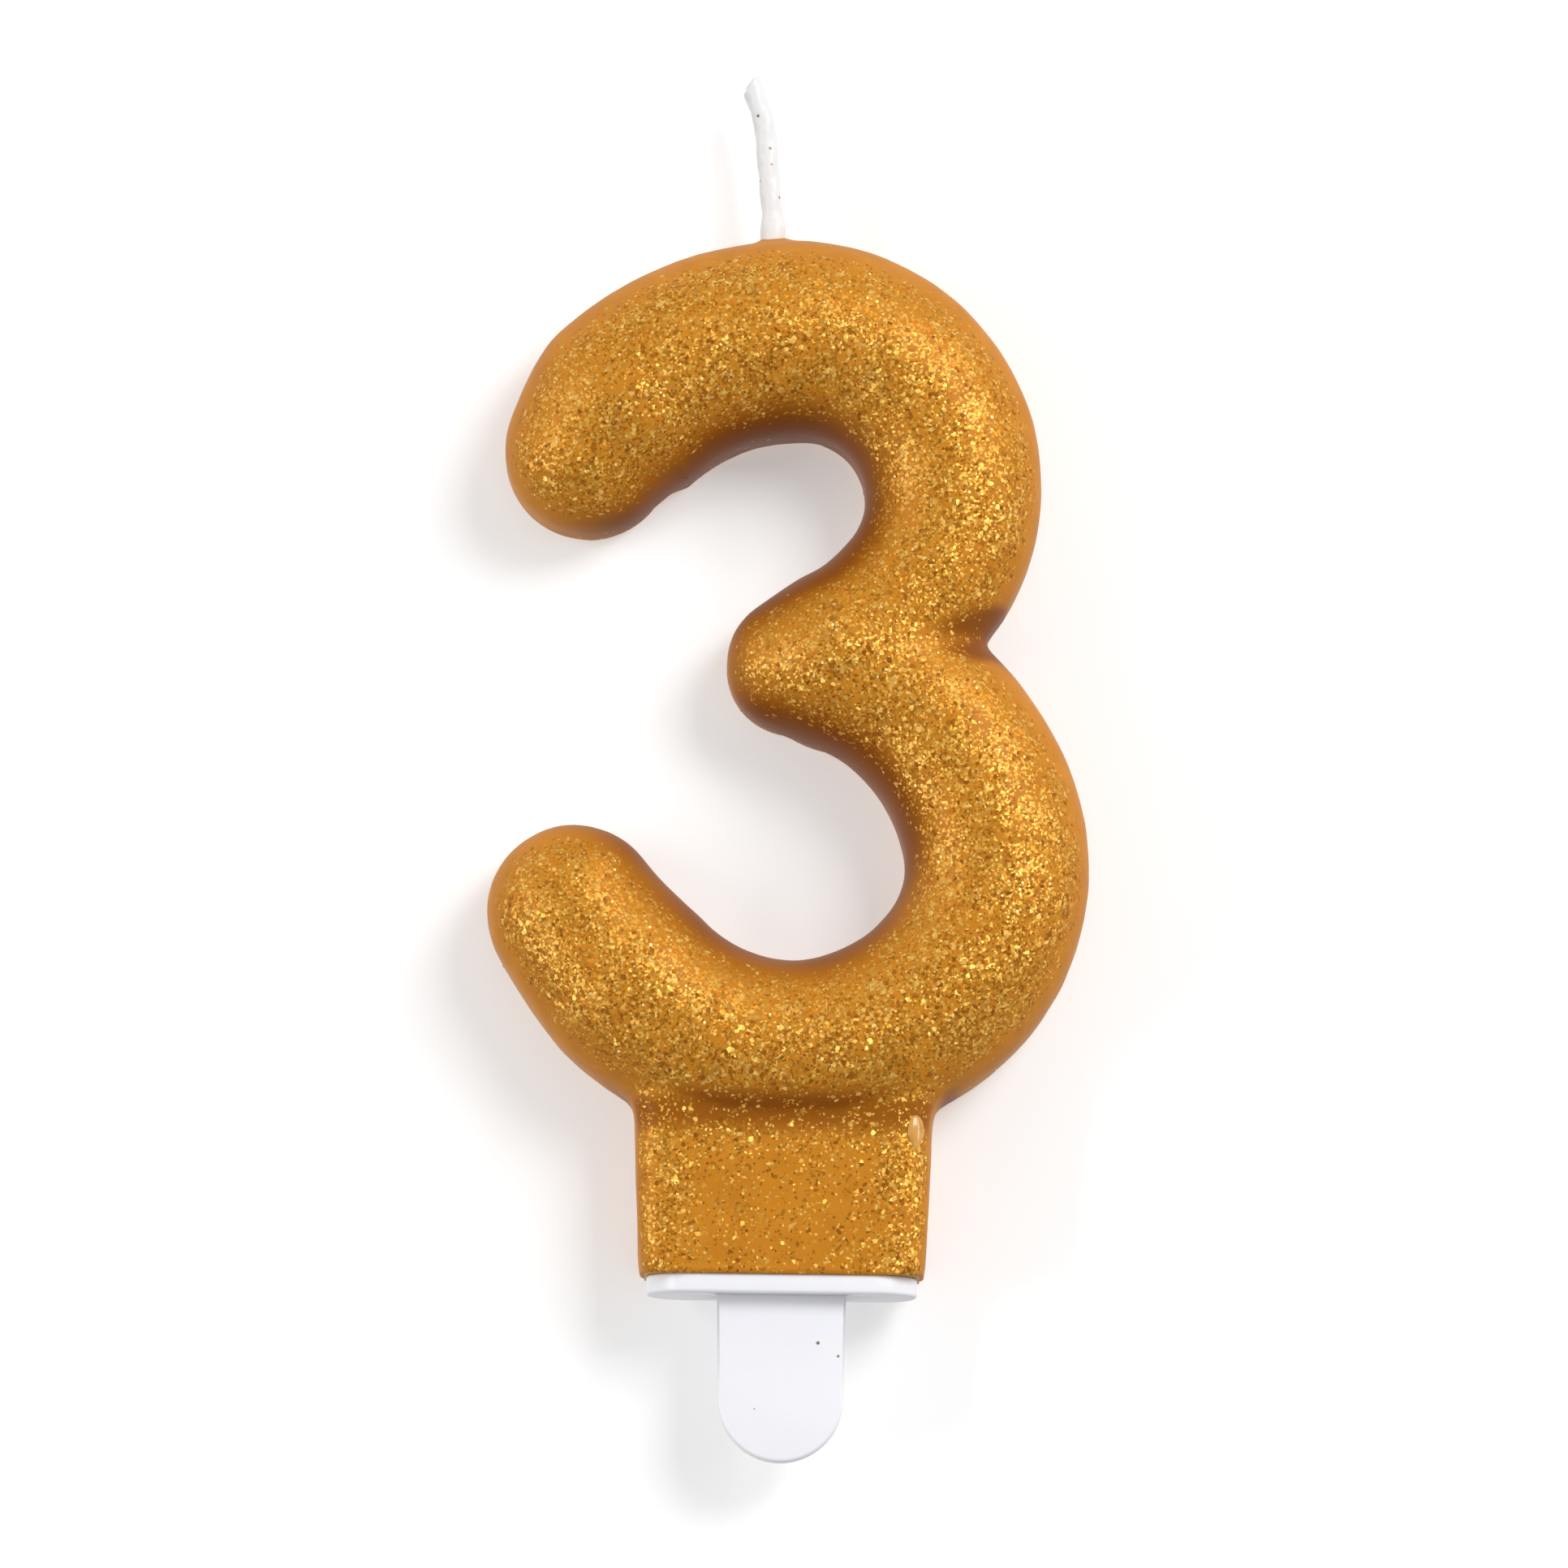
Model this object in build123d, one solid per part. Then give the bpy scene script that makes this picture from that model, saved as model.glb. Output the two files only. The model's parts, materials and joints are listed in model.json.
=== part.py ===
from build123d import *
import os
from math import atan2, cos, degrees, radians, sin

# Number birthday candle: a glitter-coated wax "3" on a foot, with a wick at its top,
# standing on a plastic holder whose tray rests on the cake and whose stake goes into it.
# Millimetres. +Z up, +X to the right of the numeral as it is read, front towards -Y.
# The origin is the middle of the tray's underside. Y = 0 is the mould's parting plane.

# Numeral, cast with a flat back and a half-round front. Points are (x, z) in the front view.
WAIST = (2.85, 34.95)  # where both bowls and the middle arm meet
WAIST_HALF_WIDTH = 4.95
BOWL_START_HALF_WIDTH = 4.7
BACK_DEPTH = 3.25  # from the parting plane to the flat back
# The stroke's centre line leaves the waist at a heading in degrees, 0 to the right and 90 up, and follows
# arcs: (radius, heading at the arc's end, half-width of the stroke there). The heading is 180 at the
# numeral's top, the end of the second upper arc, and -180 at its bottom, the end of the third lower arc.
UPPER_HEADING = 33.0
UPPER_ARCS = [(16.6, 54.0, 4.6), (8.5, 180.0, 5.4), (13.7, 226.0, 5.4), (11.0, 240.0, 4.6)]
LOWER_HEADING = -20.0
LOWER_ARCS = [
    (13.3, -75.0, 5.0),
    (9.2, -133.0, 5.05),
    (12.0, -180.0, 4.9),
    (12.0, -226.0, 5.2),
    (30.0, -235.4, 4.75),
]
ARM_TIP = (0.25, 34.65)  # centre of the middle arm's rounded end
ARM_TIP_HALF_WIDTH = 3.7

# Lacquer with glitter, over all of the wax but the foot's underside
COAT_THICKNESS = 0.28

# Foot that joins the numeral to the holder
FOOT_BOTTOM_WIDTH = 15.5
FOOT_TOP_WIDTH = 16.4
FOOT_FRONT_DEPTH = 3.25  # from the parting plane to the foot's flat front
FOOT_EDGE_RADIUS = 1.6
FOOT_RUN_UP = 3.6  # how far the foot runs up into the stroke above it

# Holder, moulded in one piece: a tray, the stake below it and the tongue above it
TRAY_WIDTH = 14.65
TRAY_DEPTH = 5.9
TRAY_THICKNESS = 1.05
TRAY_CORNER_RADIUS = 2.6
TRAY_EDGE_CHAMFER = 0.3
STAKE_TOP_WIDTH = 7.0
STAKE_TIP_WIDTH = 6.7
STAKE_THICKNESS = 1.4
STAKE_LENGTH = 9.05
TONGUE_WIDTH = 6.4
TONGUE_THICKNESS = 1.4
TONGUE_HEIGHT = 8.6
TONGUE_CORNER_RADIUS = 1.2
TONGUE_CLEARANCE = 0.05  # between the tongue and its socket in the wax, all round

# Wick: a cotton cord, with a skin of wax where it stands out of the numeral
WICK_X = -1.15
WICK_RADIUS = 0.5
WICK_SKIN = 0.15
WICK_SKIN_DEPTH = 0.6  # how far the skin goes on below the numeral's top
WICK_WAIST_RADIUS = 2.0  # of the wick's turn inside the waist
BALL_RISE = 0.05  # from the numeral's top up to the underside of the wick's ball end
BALL_GAP = 0.02  # between the wick's ball end and its cup
CUP_DROP = 0.3  # from the ball's middle, where the wick bends, down to the cup's rim
WICK_LEAN = 5.5  # degrees to the left of upright
WICK_LOWER_LENGTH = 5.5
WICK_BEND_RADIUS = 4.0
WICK_TIP_LEAN = 20.0
WICK_UPPER_LENGTH = 1.8
WICK_CUT_ANGLE = 35.0  # of the snipped end, from square


def upright(point):
    """A point (x, z) of the front view, in the parting plane."""
    return (point[0], 0, point[1])


def follow(start, heading, arcs):
    """The arcs of a centre line, as a list of (three points on the arc, first heading, last heading)."""
    runs = []
    x, z = start
    for radius, end_heading, _ in arcs:
        side = 1 if end_heading > heading else -1
        centre_x = x - side * radius * sin(radians(heading))
        centre_z = z + side * radius * cos(radians(heading))
        points = []
        for angle in (heading, (heading + end_heading) / 2, end_heading):
            point_x = centre_x + side * radius * sin(radians(angle))
            point_z = centre_z - side * radius * cos(radians(angle))
            points.append((point_x, point_z))
        runs.append((points, heading, end_heading))
        x, z = points[2]
        heading = end_heading
    return runs


def across(point, heading):
    """Plane across the stroke at a point: its x is to the left of the heading, its y to the front."""
    left = (-sin(radians(heading)), 0, cos(radians(heading)))
    ahead = (cos(radians(heading)), 0, sin(radians(heading)))
    return Plane(origin=upright(point), x_dir=left, z_dir=ahead)


def stroke_section(point, heading, half_width, back):
    """Section across the stroke: half-round in front, straight-sided to the flat back."""
    outline = Wire(
        [
            Line((-half_width, 0), (-half_width, -back)),
            Line((-half_width, -back), (half_width, -back)),
            Line((half_width, -back), (half_width, 0)),
            ThreePointArc((half_width, 0), (0, half_width), (-half_width, 0)),
        ]
    )
    return across(point, heading) * Face(outline)


def stroke_end(point, half_width, back):
    """Rounded end of a stroke: a half ball in front of a short round post."""
    ball = Pos(*upright(point)) * Sphere(half_width)
    front_half = split(ball, Plane.XZ, keep=Keep.TOP)
    post = extrude(Plane.XZ * Pos(*point) * Circle(half_width), -back)
    return front_half + post


def bowl(heading, arcs, inset):
    """The pieces of one curved stroke, from the waist to its rounded end."""
    back = BACK_DEPTH - inset
    half_width = BOWL_START_HALF_WIDTH - inset
    pieces = []
    for (points, first, last), (_, _, end_half_width) in zip(follow(WAIST, heading, arcs), arcs):
        next_half_width = end_half_width - inset
        sections = [
            stroke_section(points[0], first, half_width, back),
            stroke_section(points[2], last, next_half_width, back),
        ]
        path = ThreePointArc(*[upright(point) for point in points])
        pieces.append(sweep(sections, path, multisection=True))
        half_width = next_half_width
    pieces.append(stroke_end(points[2], half_width, back))
    return pieces


def middle_arm(inset):
    """The pieces of the short arm between the bowls, with the rounded mass at the waist."""
    back = BACK_DEPTH - inset
    waist_half_width = WAIST_HALF_WIDTH - inset
    tip_half_width = ARM_TIP_HALF_WIDTH - inset
    heading = degrees(atan2(ARM_TIP[1] - WAIST[1], ARM_TIP[0] - WAIST[0]))
    sections = [
        stroke_section(WAIST, heading, waist_half_width, back),
        stroke_section(ARM_TIP, heading, tip_half_width, back),
    ]
    return [
        stroke_end(WAIST, waist_half_width, back),
        sweep(sections, Line(upright(WAIST), upright(ARM_TIP)), multisection=True),
        stroke_end(ARM_TIP, tip_half_width, back),
    ]


top_of_centre_line = follow(WAIST, UPPER_HEADING, UPPER_ARCS)[1][0][2]
bottom_of_centre_line = follow(WAIST, LOWER_HEADING, LOWER_ARCS)[2][0][2]
top_half_width = UPPER_ARCS[1][2]
numeral_top = top_of_centre_line[1] + top_half_width
numeral_bottom = bottom_of_centre_line[1] - LOWER_ARCS[2][2]
# The stake and the tongue are one flat plate, at the middle of the numeral's whole thickness.
plate_y = (BACK_DEPTH - top_half_width) / 2


def foot(inset):
    """Block under the lower bowl, a little wider at its top, with rounded front edges."""
    half_bottom = FOOT_BOTTOM_WIDTH / 2 - inset
    half_top = FOOT_TOP_WIDTH / 2 - inset
    top = numeral_bottom + FOOT_RUN_UP
    front_view = Polygon(
        (-half_bottom, TRAY_THICKNESS),
        (half_bottom, TRAY_THICKNESS),
        (half_top, top),
        (-half_top, top),
        align=None,
    )
    back = BACK_DEPTH - inset
    block = extrude(Plane.XZ.offset(-back) * front_view, back + FOOT_FRONT_DEPTH - inset)
    front_edges = block.edges().group_by(Axis.Y)[0].filter_by(Axis.X, reverse=True)
    return fillet(front_edges, FOOT_EDGE_RADIUS)


def figure(inset):
    """Numeral and foot, shrunk by inset all round except at the foot's underside."""
    pieces = middle_arm(inset)
    pieces += bowl(UPPER_HEADING, UPPER_ARCS, inset)
    pieces += bowl(LOWER_HEADING, LOWER_ARCS, inset)
    pieces.append(foot(inset))
    whole = pieces[0]
    for piece in pieces[1:]:
        whole = whole + piece
    return whole


def tongue(clearance):
    """Flat tongue that stands on the tray, or with a clearance the socket for it."""
    width = TONGUE_WIDTH + 2 * clearance
    height = TONGUE_HEIGHT + clearance
    thickness = TONGUE_THICKNESS + 2 * clearance
    standing = (Align.CENTER, Align.CENTER, Align.MIN)
    blank = Pos(0, plate_y, TRAY_THICKNESS) * Box(width, thickness, height, align=standing)
    top_corners = blank.edges().filter_by(Axis.Y).group_by(Axis.Z)[-1]
    return fillet(top_corners, TONGUE_CORNER_RADIUS + clearance)


def holder():
    """Tray, stake and tongue in one moulding."""
    tray = extrude(RectangleRounded(TRAY_WIDTH, TRAY_DEPTH, TRAY_CORNER_RADIUS), TRAY_THICKNESS)
    tray = chamfer(tray.faces().sort_by(Axis.Z)[0].edges(), TRAY_EDGE_CHAMFER)
    tip_radius = STAKE_TIP_WIDTH / 2
    shoulder = tip_radius - STAKE_LENGTH
    outline = Wire(
        [
            Line((-STAKE_TOP_WIDTH / 2, 0), (STAKE_TOP_WIDTH / 2, 0)),
            Line((STAKE_TOP_WIDTH / 2, 0), (tip_radius, shoulder)),
            ThreePointArc((tip_radius, shoulder), (0, -STAKE_LENGTH), (-tip_radius, shoulder)),
            Line((-tip_radius, shoulder), (-STAKE_TOP_WIDTH / 2, 0)),
        ]
    )
    stake = extrude(Plane.XZ.offset(-plate_y) * Face(outline), STAKE_THICKNESS / 2, both=True)
    return tray + stake + tongue(0)


def cord(path, radius, start, heading):
    """Round cord along a path that starts at a point with a heading."""
    return sweep(across(start, heading) * Circle(radius), path)


wick_skin_radius = WICK_RADIUS + WICK_SKIN
pivot = (WICK_X, numeral_top + BALL_RISE + wick_skin_radius)


def wick_in_wax():
    """Wick from its cup above the numeral down the stroke's centre line to the numeral's bottom."""
    cup_rim = (WICK_X, pivot[1] - CUP_DROP)
    top_turn = top_of_centre_line[0] - WICK_X
    turn_start = (WICK_X, top_of_centre_line[1] + top_turn)
    turn_middle = (
        WICK_X + top_turn * (1 - cos(radians(45))),
        top_of_centre_line[1] + top_turn * (1 - sin(radians(45))),
    )
    edges = [Line(cup_rim, turn_start), ThreePointArc(turn_start, turn_middle, top_of_centre_line)]
    for points, _, _ in reversed(follow(WAIST, UPPER_HEADING, UPPER_ARCS[:2])):
        edges.append(ThreePointArc(*reversed(points)))
    for points, _, _ in follow(WAIST, LOWER_HEADING, LOWER_ARCS[:3]):
        edges.append(ThreePointArc(*points))
    route = Wire(edges)
    waist_corner = route.vertices().sort_by_distance(WAIST)[0]
    route = route.fillet_2d(WICK_WAIST_RADIUS, [waist_corner])
    wick = cord(Plane.XZ * route, WICK_RADIUS, cup_rim, -90)
    skin_foot = Plane(origin=(WICK_X, 0, numeral_top - WICK_SKIN_DEPTH))
    stub = extrude(skin_foot * Circle(wick_skin_radius), cup_rim[1] - skin_foot.origin.Z)
    return wick + stub - Pos(*upright(pivot)) * Sphere(wick_skin_radius + BALL_GAP)


def wick_end(radius):
    """Standing length of the wick as a round cord, snipped at a slant."""
    lean = radians(WICK_LEAN)
    lower_end = (
        pivot[0] - WICK_LOWER_LENGTH * sin(lean),
        pivot[1] + WICK_LOWER_LENGTH * cos(lean),
    )
    bend = follow(lower_end, 90 + WICK_LEAN, [(WICK_BEND_RADIUS, 90 + WICK_TIP_LEAN, 0)])[0][0]
    tip_lean = radians(WICK_TIP_LEAN)
    tip = (
        bend[2][0] - WICK_UPPER_LENGTH * sin(tip_lean),
        bend[2][1] + WICK_UPPER_LENGTH * cos(tip_lean),
    )
    # The cord is made a little too long, and then snipped through the tip.
    spare_end = (tip[0] - radius * sin(tip_lean), tip[1] + radius * cos(tip_lean))
    path = Wire([Line(pivot, lower_end), ThreePointArc(*bend), Line(bend[2], spare_end)])
    spare = cord(Plane.XZ * path, radius, pivot, 90 + WICK_LEAN)
    cut = across(tip, 90 + WICK_TIP_LEAN + WICK_CUT_ANGLE)
    return split(spare, cut, keep=Keep.BOTTOM)


def main():
    os.makedirs("parts", exist_ok=True)
    wax = figure(COAT_THICKNESS)
    buried_wick = wick_in_wax()
    wick_tip = wick_end(WICK_RADIUS) + Pos(*upright(pivot)) * Sphere(wick_skin_radius)
    nodes = {
        "holder_pick": holder(),
        "wax_core": wax - buried_wick - tongue(TONGUE_CLEARANCE),
        "glitter_coat": figure(0) - wax - buried_wick,
        "wick_in_wax": buried_wick,
        "wick_tip": wick_tip,
        "wick_wax_skin": wick_end(wick_skin_radius) - wick_tip,
    }
    for name, solid in nodes.items():
        export_step(solid, f"parts/{name}.step")


if __name__ == "__main__":
    main()
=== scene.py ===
import json
from math import cos, pi, radians, sin

import bmesh
import bpy
import numpy as np
from bpy.props import FloatProperty, FloatVectorProperty, IntProperty, PointerProperty
from mathutils import Matrix, Vector, noise
from mathutils.bvhtree import BVHTree


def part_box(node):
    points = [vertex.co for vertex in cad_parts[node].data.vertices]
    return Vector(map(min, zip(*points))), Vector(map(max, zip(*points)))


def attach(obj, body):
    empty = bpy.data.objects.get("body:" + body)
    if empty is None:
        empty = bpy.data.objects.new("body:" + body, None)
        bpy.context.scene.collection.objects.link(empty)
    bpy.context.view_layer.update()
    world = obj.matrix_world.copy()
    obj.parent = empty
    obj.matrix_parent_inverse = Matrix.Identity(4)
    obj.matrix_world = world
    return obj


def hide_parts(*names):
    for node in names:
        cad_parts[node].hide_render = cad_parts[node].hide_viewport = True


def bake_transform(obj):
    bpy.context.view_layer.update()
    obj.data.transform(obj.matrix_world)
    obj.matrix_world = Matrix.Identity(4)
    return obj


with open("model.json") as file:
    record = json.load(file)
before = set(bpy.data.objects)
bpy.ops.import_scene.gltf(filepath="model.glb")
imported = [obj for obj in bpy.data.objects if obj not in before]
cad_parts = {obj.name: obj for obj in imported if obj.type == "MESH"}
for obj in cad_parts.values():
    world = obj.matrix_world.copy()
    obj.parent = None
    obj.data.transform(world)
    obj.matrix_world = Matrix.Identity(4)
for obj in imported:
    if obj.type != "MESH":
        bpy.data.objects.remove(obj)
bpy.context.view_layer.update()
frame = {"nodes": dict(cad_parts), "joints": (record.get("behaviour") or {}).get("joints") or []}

bl_info = {
    "name": "Number birthday candle",
    "version": (1, 0, 0),
    "blender": (4, 5, 0),
    "location": "3D View > Sidebar > Candle",
    "description": "Glitter-coated numeral candle with its wick and cake holder",
    "category": "Object",
}

MM = 0.001
COAT_LOW, COAT_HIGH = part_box("glitter_coat")
HOLDER_LOW, HOLDER_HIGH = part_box("holder_pick")
HINGE = Vector(next(joint["pos_m"] for joint in frame["joints"] if joint["name"] == "wick_bend"))
MIDDLE_DEPTH = (COAT_LOW.y + COAT_HIGH.y) / 2
TRAY_TOP = COAT_LOW.z
SEED = 3
RAY_COUNT = 48
GOLDEN_ANGLE = pi * (3 - 5**0.5)
NEAR_REACH = 4.5 * MM
FAR_REACH = 24.0 * MM
FLAKE_ROOM = 0.11 * MM
LEAST_COAT = 0.22 * MM
WELD = 0.002 * MM
JUNCTION = Vector((1.6, -5.0, 35.0)) * MM
# Spots in millimetres: x and z where a bay's edge is softened, and x, y and z of the foot's shoulder.
BAY_EDGES = ((-13.5, 50.0), (-7.1, 43.8), (-0.8, 38.1), (2.0, 30.0))
FOOT_SHOULDER = (8.2, -1.5, 10.0)
CREASE_PASSES = 60
SHOULDER_PASSES = 24
LIGHT_AIM = 30.0 * MM
LIGHT_DISTANCE = 500.0 * MM
CAMERA_AIM = Vector((-0.2, 0, 28.02)) * MM
# x and z in millimetres of the bead of set lacquer.
DRIP_SPOT = (7.15, 8.75)
# Single flakes on the wick and on the holder: x, z and width in millimetres.
WICK_FLAKES = (
    (-2.07, 64.9, 0.17),
    (-1.38, 63.1, 0.17),
    (-1.28, 62.2, 0.14),
    (-1.9, 61.3, 0.09),
    (-0.85, 60.4, 0.15),
)
HOLDER_FLAKES = ((2.0, -2.6, 0.2), (3.1, -3.3, 0.16), (-1.4, -6.2, 0.08))


def hex_linear(code):
    """sRGB hex colour, such as "C08018", as linear RGBA."""
    channels = [int(code[i : i + 2], 16) / 255 for i in (0, 2, 4)]
    linear = [c / 12.92 if c <= 0.04045 else ((c + 0.055) / 1.055) ** 2.4 for c in channels]
    return (*linear, 1.0)


def size_property(name, description, millimetres):
    """A length that the panel shows, given in millimetres."""
    return FloatProperty(
        name=name, description=description, default=millimetres * MM, min=0.0, precision=5, unit="LENGTH"
    )


def colour_property(name, description, code):
    """A colour that the panel shows, given as sRGB hex."""
    return FloatVectorProperty(
        name=name,
        description=description,
        default=hex_linear(code),
        size=4,
        min=0.0,
        max=1.0,
        subtype="COLOR",
    )


class CandleFigure(bpy.types.PropertyGroup):
    """Sizes and colours of the glitter lacquer over the numeral."""

    grid: size_property("Surface grid", "Side of the quads that the lacquer is made of", 0.3)
    wall: size_property("Lacquer wall", "Thickness of the lacquer shell", 0.24)
    ripple: size_property("Ripple depth", "Unevenness that brushing leaves in the lacquer", 0.035)
    glitter_width: size_property("Glitter width", "Width of the large glitter grains in the lacquer", 0.2)
    dust_width: size_property("Fine glitter width", "Width of the fine grains between the large ones", 0.12)
    flake_width: size_property("Loose flake width", "Across a flake that stands proud of the lacquer", 0.17)
    flake_count: IntProperty(
        name="Loose flakes", description="Flakes that stand proud of the lacquer", default=3200, min=0
    )
    lacquer: colour_property("Lacquer", "Amber of the lacquer between the grains", "CA8220")
    # Painted shade: the lacquer is darkened to this amber in the bays and creases, where shade falls.
    painted_shade_lacquer: colour_property("Deep lacquer", "Amber where the lacquer has gathered", "884A08")
    wax: colour_property("Wax", "Colour of the cast wax under the lacquer", "D9A44C")


class CandleWick(bpy.types.PropertyGroup):
    """Sizes and colours of the waxed wick."""

    ply_radius: size_property("Ply radius", "Radius of each of the three plies", 0.5)
    ply_offset: size_property("Ply offset", "From the wick's middle to the middle of a ply", 0.13)
    lay: size_property("Lay length", "Length in which the plies turn once round the wick", 6.0)
    cotton: colour_property("Cotton", "Colour of the bare cotton", "F4F1E8")
    wax: colour_property("Wick wax", "Colour of the wax that stiffens the wick", "EAEAEA")


class CandleHolder(bpy.types.PropertyGroup):
    """Sizes and colour of the moulded cake holder."""

    corner: size_property("Tray corner", "Corner radius of the tray in plan", 2.6)
    edge: size_property("Edge radius", "Rounding of the moulding's edges", 0.26)
    plastic: colour_property("Plastic", "Colour of the moulded plastic", "F6F6FB")


class CandleStage(bpy.types.PropertyGroup):
    """The floor, light and camera round the candle."""

    frame_width: size_property("Frame width", "Width that the camera takes in at the candle", 85.4)
    distance: size_property("Camera distance", "From the camera to the candle", 600.0)
    rise: FloatProperty(
        name="Camera rise", description="Camera's height above the candle as an angle",
        default=radians(-7.5), subtype="ANGLE",
    )
    roll: FloatProperty(
        name="Camera roll", description="Lean of the camera", default=radians(0.7), subtype="ANGLE"
    )
    floor: colour_property("Floor", "Colour of the pale floor", "F4F4F4")


def add_node(tree, kind, settings=None, inputs=None, stops=None):
    """Add a node. Inputs are values or the outputs to link, stops are a colour ramp's (position, hex)."""
    node = tree.nodes.new(kind)
    for name, value in (settings or {}).items():
        setattr(node, name, value)
    for name, value in (inputs or {}).items():
        if isinstance(value, bpy.types.NodeSocket):
            tree.links.new(value, node.inputs[name])
        else:
            node.inputs[name].default_value = value
    for number, (position, code) in enumerate(stops or []):
        if number < 2:
            stop = node.color_ramp.elements[number]
            stop.position = position
        else:
            stop = node.color_ramp.elements.new(position)
        stop.color = hex_linear(code)
    return node


def new_material(name):
    """Empty node material with its tree and its Object coordinates in millimetres."""
    material = bpy.data.materials.new(name)
    material.use_nodes = True
    tree = material.node_tree
    tree.nodes.clear()
    coordinates = add_node(tree, "ShaderNodeTexCoord").outputs["Object"]
    mapping = add_node(tree, "ShaderNodeMapping", {}, {"Vector": coordinates, "Scale": (1 / MM,) * 3})
    return material, tree, mapping.outputs["Vector"]


def show(tree, shader):
    """Send a shader to the material's surface."""
    add_node(tree, "ShaderNodeOutputMaterial", {}, {"Surface": shader.outputs["BSDF"]})


def finish_piece(bm, name, material, body=None, smooth=True):
    """Write a bmesh into a new object with its material and slot, which rides on a body if one is named."""
    mesh = bpy.data.meshes.new(name)
    bm.to_mesh(mesh)
    bm.free()
    mesh.polygons.foreach_set("use_smooth", [smooth] * len(mesh.polygons))
    mesh.materials.append(material)
    piece = bpy.data.objects.new(name, mesh)
    bpy.context.scene.collection.objects.link(piece)
    if body is not None:
        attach(piece, body)
    return piece


def merged_copy(*node_names):
    """Bmesh of copies of CAD nodes, with their loose triangles merged."""
    bm = bmesh.new()
    for name in node_names:
        bm.from_mesh(frame["nodes"][name].data)
    bmesh.ops.remove_doubles(bm, verts=bm.verts, dist=WELD)
    return bm


def remeshed(bm, voxel):
    """Bmesh after a voxel remesh, which joins overlapping solids into one skin."""
    mesh = bpy.data.meshes.new("remesh_work")
    bm.to_mesh(mesh)
    bm.free()
    work = bpy.data.objects.new("remesh_work", mesh)
    bpy.context.scene.collection.objects.link(work)
    modifier = work.modifiers.new("voxels", "REMESH")
    modifier.mode = "VOXEL"
    modifier.voxel_size = voxel
    bpy.context.view_layer.update()
    evaluated = work.evaluated_get(bpy.context.evaluated_depsgraph_get())
    result = bmesh.new()
    result.from_mesh(evaluated.to_mesh())
    evaluated.to_mesh_clear()
    bpy.data.objects.remove(work)
    bpy.data.meshes.remove(mesh)
    return result


def keep_largest_island(bm):
    """Delete every connected part of a bmesh but the one with most faces."""
    unseen = set(bm.faces)
    largest = set()
    while unseen:
        island = {unseen.pop()}
        frontier = list(island)
        while frontier:
            for edge in frontier.pop().edges:
                for neighbour in edge.link_faces:
                    if neighbour in unseen:
                        unseen.remove(neighbour)
                        island.add(neighbour)
                        frontier.append(neighbour)
        if len(island) > len(largest):
            largest = island
    bmesh.ops.delete(bm, geom=[face for face in bm.faces if face not in largest], context="FACES")


def soften(bm, vertices, passes):
    """Smooth some vertices a number of times."""
    for _ in range(passes):
        bmesh.ops.smooth_vert(
            bm, verts=vertices, factor=0.5, use_axis_x=True, use_axis_y=True, use_axis_z=True
        )


def soften_around(bm, wax, centre, reach, passes, depth_share=1.0):
    """Smooth most at a point and less and less out to reach, and give back the thickness that this takes.

    A depth share of 0 counts no distance in depth, so it takes in the whole thickness. The smoothed
    surface stays at least LEAST_COAT outside the wax, which can leave a small step where it is pushed.
    """
    bm.normal_update()
    nearby = []
    for vertex in bm.verts:
        offset = vertex.co - centre
        offset.y *= depth_share
        if offset.length < reach and not vertex.is_boundary:
            nearby.append((1 - offset.length / reach, vertex, vertex.co.copy(), vertex.normal.copy()))
    for number in range(passes):
        soften(bm, [vertex for share, vertex, _, _ in nearby if share > number / passes], 1)
    lost = sum(share * (old - vertex.co).dot(normal) for share, vertex, old, normal in nearby)
    lost /= sum(share * share for share, _, _, _ in nearby)
    for share, vertex, _, normal in nearby:
        vertex.co += normal * lost * share
        nearest, outward, _, _ = wax.find_nearest(vertex.co)
        gap = (vertex.co - nearest).dot(outward)
        if gap < LEAST_COAT:
            vertex.co += outward * (LEAST_COAT - gap)


def smooth_step(low, high, value):
    """0 below low, 1 above high, and a smooth rise between."""
    t = min(max((value - low) / (high - low), 0.0), 1.0)
    return t * t * (3 - 2 * t)


def glitter_share(place, normal):
    """How densely the glitter lies: full in front, thin on the sides, the back and the foot's middle."""
    x, z = place.x / MM, place.z / MM
    up = max(normal.z, 0.0)
    front = smooth_step(0.35 + 0.25 * up, 0.75 + 0.2 * up, -normal.y)
    back = 0.4 * smooth_step(-0.1, 0.4, normal.y)
    foot_middle = 1 - smooth_step(3.5, 7.0, abs(x))
    foot_height = 1 - smooth_step(7.0, 9.2, z)
    thin = 1 - 0.72 * foot_middle * foot_height
    clumps = 0.85 + 0.6 * noise.noise(place / (1.6 * MM))
    return min(max((front * thin + back) * clumps, 0.0), 1.0)


def painted_shade_under_bowl(place, normal):
    """Painted shade under the overhanging bowl: how far a spot lies in the crease between the numeral's bowl
    and the foot's front.
    """
    x, z = place.x / MM, place.z / MM
    overhang = smooth_step(0.2, 0.55, -normal.z)
    overhang *= smooth_step(8.8, 9.8, z) * (1 - smooth_step(10.2, 11.8, z))
    foot = 0.85 * smooth_step(7.9, 9.5, z) * (1 - smooth_step(10.2, 11.0, z))
    return max(overhang, foot) * smooth_step(0.1, 0.4, -normal.y) * (1 - smooth_step(7.5, 9.5, abs(x)))


def evened(pairs, values, passes):
    """Values of a mesh's vertices after each has been averaged with its neighbours a number of times."""
    neighbours = np.bincount(pairs.ravel(), minlength=len(values))
    for _ in range(passes):
        total = np.bincount(pairs[:, 0], values[pairs[:, 1]], len(values))
        total += np.bincount(pairs[:, 1], values[pairs[:, 0]], len(values))
        values = (values + total / neighbours) / 2
    return values


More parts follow.
